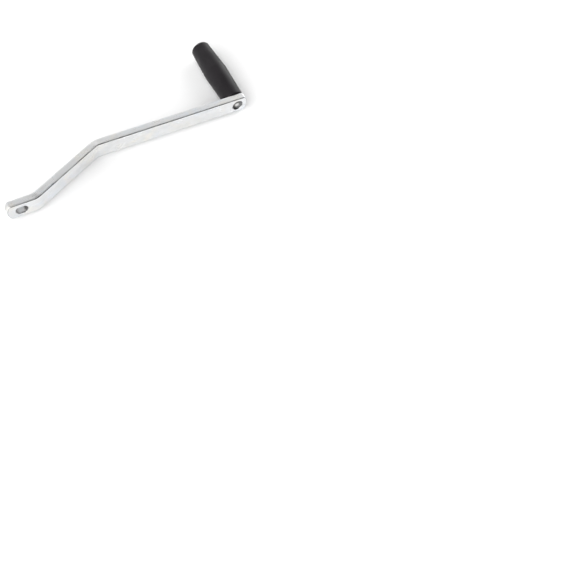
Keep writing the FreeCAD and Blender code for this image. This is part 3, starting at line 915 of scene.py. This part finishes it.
    def add_end(self, skin: Skin, end: BarEnd) -> None:
        """An end's broad sides and its hole.

        Each side is a set of loops that go from the hole's rim to the outline of the
        patch in equal shares. The hole is the same loop carried through its depths. In
        the hub hole the painted shade, with some dirt, keeps to the round parts of the
        wall.

        Args:
            skin: The surface to add to.
            end: Which end.
        """
        angles = self.end_angles()
        reach = self.hub_reach if end is BarEnd.HUB else self.tip_reach
        outline, outs = self.end_outline(reach, angles)
        rows = self.cut_rows()[1:-1]
        cut = np.stack([np.full(rows.shape, self.patch_reach), rows], -1)
        around = np.concatenate([angles, np.arctan2(cut[:, 1], cut[:, 0]) + FULL_TURN])
        level = self.edge_radius + self.support
        sheared = self.sheared_share(outs)[:, None]

        rings = self.hole_rings(end)
        if end is BarEnd.HUB:
            loops = [self.double_d(around, ring.size) for ring in rings]
            # Painted shade with some dirt kept to the hole's round ends, which are its darker ends.
            on_rounds = np.clip((np.abs(np.cos(around)) - 0.4) / 0.3, 0.05, 1)
        else:
            loops = [self.circle(around, ring.size) for ring in rings]
            on_rounds = np.ones(around.shape)
        share = np.linspace(0, 1, 9)[:, None, None]
        # The broad side's two loops next to the hole darken by rubbing and as a painted dark
        # reflection.
        rim_wear_and_dark_reflection = np.array([0.5, 0.15] + [0.0] * 7)[:, None]
        for loop, depth in ((loops[0], 0.0), (loops[-1], self.thickness)):
            lean = self.shear_lean * sheared * depth / self.thickness
            border = np.concatenate([outline - (level + lean) * outs, cut])
            broad = self.to_blank(end, loop + (border - loop) * share, depth)
            self.add_blank(skin, broad, rim_wear_and_dark_reflection, close_columns=True)
        marks = np.array([[ring.depth, ring.wear_and_dark_reflection, ring.torn, ring.film_and_shade] for ring in rings])
        depth, wear_and_dark_reflection, torn, film_and_shade = marks.T[..., None]
        wall = self.to_blank(end, np.stack(loops), depth)
        self.add_blank(skin, wall, wear_and_dark_reflection, torn, film_and_shade * on_rounds, close_columns=True)

    def build(self) -> bpy.types.Object:
        """Build, dress and place the bar.

        Returns:
            The piece.
        """
        skin = Skin()
        self.add_rim(skin)
        self.add_run(skin)
        self.add_end(skin, BarEnd.HUB)
        self.add_end(skin, BarEnd.TIP)
        piece = skin.build("bent_bar")
        piece.data.materials.append(self.plate.make())
        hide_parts("crank_arm")
        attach(piece, Body.CRANK.value)
        return piece


# ---------------------------------------------------------------- turned pieces


def dress(
    piece: bpy.types.Object, material: bpy.types.Material, node: str, body: Body
) -> bpy.types.Object:
    """Give a piece its finish and let it stand for a node of the frame.

    Args:
        piece: The new piece.
        material: Its finish.
        node: The node it stands for.
        body: The body it rides on.

    Returns:
        The piece.
    """
    piece.data.materials.append(material)
    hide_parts(node)
    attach(piece, body.value)
    return piece


def turned(
    name: str, profile: np.ndarray, segments: int, axis_x: float, ring: bool = False
) -> bpy.types.Object:
    """Make a piece of a profile turned about an axis.

    Args:
        name: The name of the piece.
        profile: Rows of (radius, height).
        segments: Steps of the turn.
        axis_x: Where the axis crosses the X axis.
        ring: Whether the profile closes on itself.

    Returns:
        The piece.
    """
    skin = Skin()
    grid = turn_profile(profile, even_angles(segments), axis_x)
    skin.add(grid, close_rows=ring, close_columns=True)
    return skin.build(name)


def axis_of(node: str) -> float:
    """Where the turning axis of a round node crosses the X axis."""
    low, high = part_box(node)
    return (low.x + high.x) / 2


@dataclass
class GripSpindle:
    """Stepped steel pin, its end hammered over in the arm's recess."""

    head_diameter: float = 0.010
    head_edge_height: float = 0.0006
    lip_round: float = 0.0007
    neck_diameter: float = 0.008
    collar_diameter: float = 0.018
    journal_diameter: float = 0.012
    groove_diameter: float = 0.0112
    groove_width: float = 0.0012
    tail: float = 0.002
    head_seat_y: float = 0.0515
    arm_back_y: float = 0.058
    collar_end_y: float = 0.061
    bevel: float = 0.0006
    shoulder_round: float = 0.0004
    groove_round: float = 0.00015
    centre_mouth: float = 0.0016
    centre_depth: float = 0.0012
    dome_radius: float = 0.0062
    blow_radius: float = 0.008
    blow_depth: float = 0.00022
    blow_ring: float = 0.0030
    blows: int = 7
    rings: int = 22
    segments: int = 96

    def head_height(self, radius: np.ndarray, angle: np.ndarray, peak: float) -> np.ndarray:
        """Height of the hammered head above its seat.

        It is a shallow dome, cut into by shallow round-bottomed dents, one in the
        middle and the others in a ring about it. The lower of dome and dents counts,
        with a soft change from one to the other.

        Args:
            radius: Distance from the axis.
            angle: Angle about the axis.
            peak: Height of the dome.

        Returns:
            Heights of the same shape.
        """
        across, up = radius * np.cos(angle), radius * np.sin(angle)
        dome = peak - radius**2 / (2 * self.dome_radius)
        heights = [dome]
        for number in range(self.blows):
            turn = number * FULL_TURN / (self.blows - 1) + 0.31 * math.sin(5.0 * number)
            out = self.blow_ring + 0.0004 * math.sin(3.0 * number)
            out = 0.0 if number == self.blows - 1 else out
            away = (across - out * math.cos(turn)) ** 2 + (up - out * math.sin(turn)) ** 2
            dent = self.blow_depth + 0.00008 * math.sin(7.0 * number)
            base = peak - out**2 / (2 * self.dome_radius) - dent
            heights.append(base + away / (2 * self.blow_radius))
        softness = 0.00005
        stack = np.stack(heights) / softness
        lowest = stack.min(axis=0)
        return softness * (lowest - np.log(np.exp(lowest - stack).sum(axis=0)))

    def build(self) -> bpy.types.Object:
        """Build, dress and place the pin.

        Returns:
            The piece.
        """
        axis_x = axis_of("grip_spindle")
        low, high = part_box("grip_spindle")
        angles = even_angles(self.segments)
        edge = self.head_diameter / 2
        crown = edge - self.lip_round
        peak = self.head_seat_y - low.y
        reach = np.linspace(0, crown, self.rings)[:, None] + 0 * angles
        turn = np.broadcast_to(angles, reach.shape)
        height = self.head_height(reach, turn, peak)
        place = [axis_x + reach * np.cos(turn), self.head_seat_y - height, reach * np.sin(turn)]
        skin = Skin()
        # Painted shade, with some dirt, on the head's outer part down in the recess.
        film_and_shade = np.clip((reach / edge - 0.5) / 0.3, 0, 1)
        skin.add(np.stack(place, -1), {"grime_and_shade": film_and_shade}, close_columns=True)
        lip = height[-1]
        share = np.linspace(0, math.pi / 2, 6)[:, None]
        lip_reach = crown + (edge - crown) * np.sin(share) + 0 * angles
        lip_height = self.head_edge_height + (lip - self.head_edge_height) * np.cos(share)
        lip_height = np.minimum(lip_height, lip)
        across, up = lip_reach * np.cos(angles), lip_reach * np.sin(angles)
        place = [axis_x + across, self.head_seat_y - lip_height, up]
        # The head's rim is painted dark all round: painted shade in the gap about it, with some
        # dirt.
        skin.add(np.stack(place, -1), {"grime_and_shade": np.ones(lip_reach.shape)}, close_columns=True)
        journal, groove = self.journal_diameter / 2, self.groove_diameter / 2
        collar, neck = self.collar_diameter / 2, self.neck_diameter / 2
        groove_end = high.y - self.tail
        groove_start = groove_end - self.groove_width
        profile = round_profile(
            [
                Corner(edge, self.head_seat_y - self.head_edge_height),
                Corner(edge, self.head_seat_y, 0.0002, 2),
                Corner(neck, self.head_seat_y),
                Corner(neck, self.arm_back_y),
                Corner(collar, self.arm_back_y, self.shoulder_round, 3),
                Corner(collar, self.collar_end_y, self.shoulder_round, 3),
                Corner(journal, self.collar_end_y),
                Corner(journal, groove_start, self.groove_round, 2),
                Corner(groove, groove_start),
                Corner(groove, groove_end),
                Corner(journal, groove_end, self.groove_round, 2),
                Corner(journal, high.y - self.bevel),
                Corner(journal - self.bevel, high.y),
                Corner(self.centre_mouth, high.y),
                Corner(0.0, high.y - self.centre_depth),
            ],
            closed=False,
        )
        shaft = turn_profile(profile, angles, axis_x)
        # Painted shade, with some dirt, from the neck through the collar, inside and against the
        # bar.
        film_and_shade = np.where(shaft[..., 1] < self.collar_end_y, 1.0, 0.0)
        skin.add(shaft, {"grime_and_shade": film_and_shade}, close_columns=True)
        piece = skin.build("riveted_spindle")
        bright, dull = rgb(0.72, 0.72, 0.71), rgb(0.42, 0.41, 0.40)
        steel = TurnedSteel("hammered_steel", bright, dull, 0.3, axis_x)
        return dress(piece, steel.make(), "grip_spindle", Body.CRANK)


@dataclass
class BarrelGrip:
    """Hollow moulded barrel of two shallow cones, with a fine parting line."""

    base_diameter: float = 0.030
    belly_diameter: float = 0.034
    belly_at: float = 0.056
    end_diameter: float = 0.0275
    belly_round: float = 0.045
    pocket_diameter: float = 0.020
    seat_diameter: float = 0.017
    core_diameter: float = 0.015
    base_pocket_y: float = 0.0638
    end_pocket_depth: float = 0.014
    seat_length: float = 0.016
    parting_height: float = 0.00009
    parting_half_width: float = 0.00022
    parting_turn: float = math.radians(24)
    parting_spread: float = 0.03
    parting_fade: float = 0.0006
    mouth_bevel: float = 0.0004
    profile_step: float = 0.0025
    segments: int = 168

    def build(self) -> bpy.types.Object:
        """Build, dress and place the barrel.

        Returns:
            The piece.
        """
        axis_x = axis_of("grip_shell")
        low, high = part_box("grip_shell")
        base, end = low.y, high.y
        bores = (self.pocket_diameter, self.seat_diameter, self.core_diameter)
        pocket, seat, core = (bore / 2 for bore in bores)
        bevel, end_pocket = self.mouth_bevel, end - self.end_pocket_depth
        outside = round_profile(
            [
                Corner(pocket + bevel, base),
                Corner(self.base_diameter / 2, base, 0.0012, 7),
                Corner(self.belly_diameter / 2, base + self.belly_at, self.belly_round, 14),
                Corner(self.end_diameter / 2, end, 0.0021, 9),
                Corner(pocket + bevel, end),
            ],
            closed=False,
        )
        outside = self.refine(outside)
        inside = round_profile(
            [
                Corner(pocket + bevel, end),
                Corner(pocket, end - bevel),
                Corner(pocket, end_pocket),
                Corner(seat, end_pocket),
                Corner(seat, end_pocket - self.seat_length),
                Corner(core, end_pocket - self.seat_length),
                Corner(core, self.base_pocket_y + self.seat_length),
                Corner(seat, self.base_pocket_y + self.seat_length),
                Corner(seat, self.base_pocket_y),
                Corner(pocket, self.base_pocket_y),
                Corner(pocket, base + bevel),
                Corner(pocket + bevel, base),
            ],
            closed=False,
        )
        angles = self.spaced_angles()
        skin = Skin()
        barrel = self.with_parting(outside, angles, axis_x)
        skin.add(barrel, close_columns=True)
        skin.add(turn_profile(inside, angles, axis_x), close_columns=True)
        piece = skin.build("barrel_grip")
        deep, rubbed = rgb(0.008, 0.0065, 0.008), rgb(0.013, 0.011, 0.013)
        plastic = MouldedPlastic("black_grip_plastic", deep, rubbed, 0.44, 0.00005, specular=0.22)
        return dress(piece, plastic.make(), "grip_shell", Body.GRIP)

    def refine(self, profile: np.ndarray) -> np.ndarray:
        """Put points no more than the profile's step apart along its straight stretches.

        Args:
            profile: Rows of (radius, height).

        Returns:
            The same profile with the added rows.
        """
        gaps = np.linalg.norm(np.diff(profile, axis=0), axis=1)
        travelled = np.concatenate([[0], np.cumsum(gaps)])
        wanted = np.arange(0, travelled[-1], self.profile_step)
        places = np.unique(np.round(np.concatenate([travelled, wanted]), 6))
        places = places[np.concatenate([[True], np.diff(places) > 4e-5])]
        places[-1] = travelled[-1]
        return np.stack([np.interp(places, travelled, column) for column in profile.T], -1)

    def spaced_angles(self) -> np.ndarray:
        """Even steps of a turn, with more of them at the two parting lines.

        Returns:
            The angles in rising order.
        """
        close = np.linspace(-1, 1, 9) * self.parting_spread
        lines = [self.parting_turn + close, self.parting_turn + math.pi + close]
        steps = even_angles(self.segments)
        clear = self.parting_spread + 0.004
        far = [np.abs(np.angle(np.exp(1j * (steps - line.mean())))) > clear for line in lines]
        return np.sort(np.concatenate([steps[far[0] & far[1]], *lines]) % FULL_TURN)

    def with_parting(self, profile: np.ndarray, angles: np.ndarray, axis_x: float) -> np.ndarray:
        """Turn the profile and raise its parting line.

        The line is a narrow ridge whose height falls off as a bell curve. It fades out
        towards the two flat ends, where the profile's radius drops.

        Args:
            profile: Rows of (radius, height).
            angles: The angles to turn it to.
            axis_x: Where the axis crosses the X axis.

        Returns:
            A grid of places.
        """
        grid = turn_profile(profile, angles, axis_x)
        apart = np.angle(np.exp(2j * (angles - self.parting_turn))) / 2
        wide = apart * self.belly_diameter / 2 / self.parting_half_width
        share = np.clip((profile[:, :1] - self.end_diameter / 2) / self.parting_fade + 1, 0, 1)
        lift = self.parting_height * np.exp(-(wide**2)) * share
        away = grid - np.array([axis_x, 0, 0])
        away[..., 1] = 0
        reach = np.linalg.norm(away, axis=-1, keepdims=True)
        return grid + away / reach * lift[..., None]


@dataclass
class EndCap:
    """Pressed-in plug with a shallow dish and the stub of its moulding gate."""

    thickness: float = 0.003
    wall: float = 0.0016
    dish_diameter: float = 0.0142
    dish_depth: float = 0.0006
    gate_diameter: float = 0.0022
    segments: int = 96

    def build(self) -> bpy.types.Object:
        """Build, dress and place the cap.

        Returns:
            The piece.
        """
        axis_x = axis_of("end_cap")
        low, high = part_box("end_cap")
        outer = (high.x - low.x) / 2
        dish, gate = self.dish_diameter / 2, self.gate_diameter / 2
        floor = high.y - self.dish_depth
        profile = round_profile(
            [
                Corner(0.0, floor + 0.00025),
                Corner(gate, floor + 0.00025, 0.0001, 3),
                Corner(gate + 0.0001, floor),
                Corner(dish - 0.0005, floor, 0.0005, 5),
                Corner(dish, high.y, 0.00025, 4),
                Corner(outer, high.y, 0.001, 8),
                Corner(outer, low.y + 0.0003),
                Corner(outer - 0.0003, low.y),
                Corner(outer - self.wall, low.y),
                Corner(outer - self.wall, high.y - self.thickness, 0.0004, 3),
                Corner(0.0, high.y - self.thickness),
            ],
            closed=False,
        )
        piece = turned("moulded_end_cap", profile, self.segments, axis_x)
        deep, rubbed = rgb(0.024, 0.022, 0.024), rgb(0.040, 0.037, 0.040)
        plastic = MouldedPlastic("black_cap_plastic", deep, rubbed, 0.36, 0.00003, 1700)
        return dress(piece, plastic.make(), "end_cap", Body.GRIP)


@dataclass
class PlainRing:
    """A ring with softened edges, such as a stamped washer."""

    node: str
    name: str
    bore: float
    burr: float = 0.00018
    segments: int = 72

    def build(self) -> bpy.types.Object:
        """Build, dress and place the washer.

        Returns:
            The piece.
        """
        axis_x = axis_of(self.node)
        low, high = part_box(self.node)
        outer, inner = (high.x - low.x) / 2, self.bore / 2
        corners = [
            Corner(inner, low.y, self.burr, 3),
            Corner(outer, low.y, self.burr * 2, 4),
            Corner(outer, high.y, self.burr, 2),
            Corner(inner, high.y, self.burr, 2),
        ]
        profile = round_profile(corners, closed=True)
        piece = turned(self.name, profile, self.segments, axis_x, ring=True)
        bright, dull = rgb(0.55, 0.55, 0.54), rgb(0.36, 0.355, 0.35)
        steel = TurnedSteel(self.name + "_steel", bright, dull, 0.38, axis_x, 0.00001, 0.8)
        return dress(piece, steel.make(), self.node, Body.CRANK)


@dataclass
class FlangedBush:
    """Plain bearing with a flange at one end and a lead-in at the other."""

    node: str
    name: str
    flange_first: bool
    bore: float = 0.0121
    sleeve: float = 0.017
    flange_thickness: float = 0.0015
    lead_in: float = 0.0005
    segments: int = 80

    def build(self) -> bpy.types.Object:
        """Build, dress and place the bush.

        Returns:
            The piece.
        """
        axis_x = axis_of(self.node)
        low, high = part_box(self.node)
        flange, bore, sleeve = (high.x - low.x) / 2, self.bore / 2, self.sleeve / 2
        start, sign = (low.y, 1) if self.flange_first else (high.y, -1)
        stop = high.y if self.flange_first else low.y
        back = start + sign * self.flange_thickness
        corners = [
            Corner(bore, start, 0.0003, 3),
            Corner(flange, start, 0.0003, 3),
            Corner(flange, back, 0.0002, 2),
            Corner(sleeve, back),
            Corner(sleeve, stop - sign * self.lead_in),
            Corner(sleeve - self.lead_in, stop),
            Corner(bore, stop, 0.0002, 2),
        ]
        profile = round_profile(corners, closed=True)
        piece = turned(self.name, profile, self.segments, axis_x, ring=True)
        deep, rubbed = rgb(0.74, 0.72, 0.66), rgb(0.66, 0.63, 0.56)
        plastic = MouldedPlastic(self.name + "_plastic", deep, rubbed, 0.42, 0.00001, 1500)
        return dress(piece, plastic.make(), self.node, Body.GRIP)


def dress_retaining_ring() -> None:
    """Give the spring ring, whose frame shape is kept, its blued finish."""
    axis_x = axis_of("grip_spindle")
    bright, dull = rgb(0.085, 0.08, 0.085), rgb(0.15, 0.12, 0.10)
    steel = TurnedSteel("blued_spring_steel", bright, dull, 0.34, axis_x, 0.00001, 0.6)
    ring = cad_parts["retaining_ring"]
    material = steel.make()
    if not ring.material_slots:
        ring.data.materials.append(material)
    for place in ring.material_slots:
        place.material = material
    log.info("retaining_ring: kept, dressed")


# ---------------------------------------------------------------- studio


@dataclass(frozen=True)
class SoftLight:
    """A round soft light far away: where it is seen, how wide it is, and its strength."""

    towards: tuple
    inner_angle: float
    outer_angle: float
    strength: float


@dataclass
class Studio:
    """Pale floor and soft surroundings: bright behind and at the sides, dark in front."""

    floor_half: float = 6.0
    paper_scale: float = 60
    plain: float = 1.0
    front_light: float = 0.02
    back_light: float = 1.02
    dark_until: float = 0.16
    bright_from: float = 0.74
    horizon_from: float = -0.12
    lights: tuple = (
        SoftLight((-0.74, -0.52, 0.54), 16.0, 52.0, 4.05),
        SoftLight((0.93, 0.26, 0.38), 10.0, 38.0, 3.0),
    )

    def build(self) -> None:
        """Build the floor and the surroundings."""
        low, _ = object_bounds()
        self.build_floor(low.z)
        self.build_surroundings()

    def build_floor(self, height: float) -> None:
        """Lay a wide pale floor at that height, a grid that carries a faint unevenness.

        Args:
            height: The floor's height.
        """
        steps = np.linspace(-self.floor_half, self.floor_half, 25)
        across, along = np.meshgrid(steps, steps, indexing="ij")
        skin = Skin()
        skin.add(np.stack([across, along, np.full(across.shape, height)], -1))
        floor = skin.build("studio_floor")
        graph = Graph("pale_floor")
        paper = graph.noise(graph.place(), self.paper_scale, 3)
        colour = graph.blend(paper, rgb(0.90, 0.90, 0.90), rgb(0.92, 0.92, 0.92))
        floor.data.materials.append(graph.finish(Base_Color=colour, Roughness=0.9))
        floor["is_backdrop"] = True

    def build_surroundings(self) -> None:
        """Light from all round that grows from the front to the back, and two soft lights.

        Below the horizon it stays bright. Seen directly, the surroundings are plain.
        """
        world = bpy.data.worlds.new("soft_surroundings")
        bpy.context.scene.world = world
        world.use_nodes = True
        nodes = Nodes(world.node_tree)
        towards = nodes.add("ShaderNodeTexCoord", {}).outputs["Generated"]
        apart = nodes.add("ShaderNodeSeparateXYZ", {0: towards}).outputs
        soft = "SMOOTHSTEP"
        limits = (self.dark_until, self.bright_from, self.front_light, self.back_light)
        light = nodes.spread(apart["Y"], *limits, soft)
        below = nodes.spread(apart["Z"], self.horizon_from, 0.0, self.plain, 0.0, soft)
        light = nodes.maths("ADD", light, below)
        for lamp in self.lights:
            pair = {0: towards, 1: tuple(Vector(lamp.towards).normalized())}
            facing = nodes.add("ShaderNodeVectorMath", pair, operation="DOT_PRODUCT")
            angles = (lamp.outer_angle, lamp.inner_angle)
            far, near = (math.cos(math.radians(angle)) for angle in angles)
            glow = nodes.spread(facing.outputs["Value"], far, near, 0.0, lamp.strength, soft)
            light = nodes.maths("ADD", light, glow)
        seen = nodes.add("ShaderNodeLightPath", {}).outputs["Is Camera Ray"]
        shown = nodes.add("ShaderNodeMix", {0: seen, 2: light, 3: self.plain}, data_type="FLOAT")
        inputs = {"Color": rgb(1.0, 1.0, 1.0), "Strength": shown.outputs[0]}
        background = nodes.add("ShaderNodeBackground", inputs)
        nodes.add("ShaderNodeOutputWorld", {0: background.outputs[0]})


@dataclass
class Viewpoint:
    """The camera: where it stands, where it looks, and how it is rolled."""

    place: tuple = (-0.0855, -0.5503, 0.8074)
    forward: tuple = (0.36769, 0.33762, -0.8665)
    right: tuple = (0.85025, -0.49945, 0.1662)
    lens: float = 45.362
    sensor: float = 36.0

    def build(self) -> None:
        """Set up the camera, its three directions made square to each other."""
        ahead = Vector(self.forward).normalized()
        side = Vector(self.right)
        side = (side - ahead * side.dot(ahead)).normalized()
        up = side.cross(ahead)
        turn = Matrix((side, up, -ahead)).transposed().to_4x4()
        data = bpy.data.cameras.new("viewpoint")
        data.lens = self.lens
        data.sensor_width = self.sensor
        data.sensor_fit = "HORIZONTAL"
        data.clip_start = 0.01
        camera = bpy.data.objects.new("viewpoint", data)
        bpy.context.scene.collection.objects.link(camera)
        camera.matrix_world = Matrix.Translation(Vector(self.place)) @ turn
        bpy.context.scene.camera = camera


def main() -> None:
    """Build the crank's pieces in order, then the studio around them."""
    logging.basicConfig(level=logging.INFO, format="%(name)s: %(message)s")
    CrankArm().build()
    GripSpindle().build()
    PlainRing("base_washer", "inner_washer", 0.0124).build()
    FlangedBush("inner_bush", "inner_bearing_bush", flange_first=True).build()
    BarrelGrip().build()
    FlangedBush("outer_bush", "outer_bearing_bush", flange_first=False).build()
    PlainRing("outer_washer", "end_washer", 0.0124).build()
    dress_retaining_ring()
    EndCap().build()
    Studio().build()
    Viewpoint().build()
    bpy.context.scene.view_settings.view_transform = "Standard"


if __name__ == "__main__":
    main()
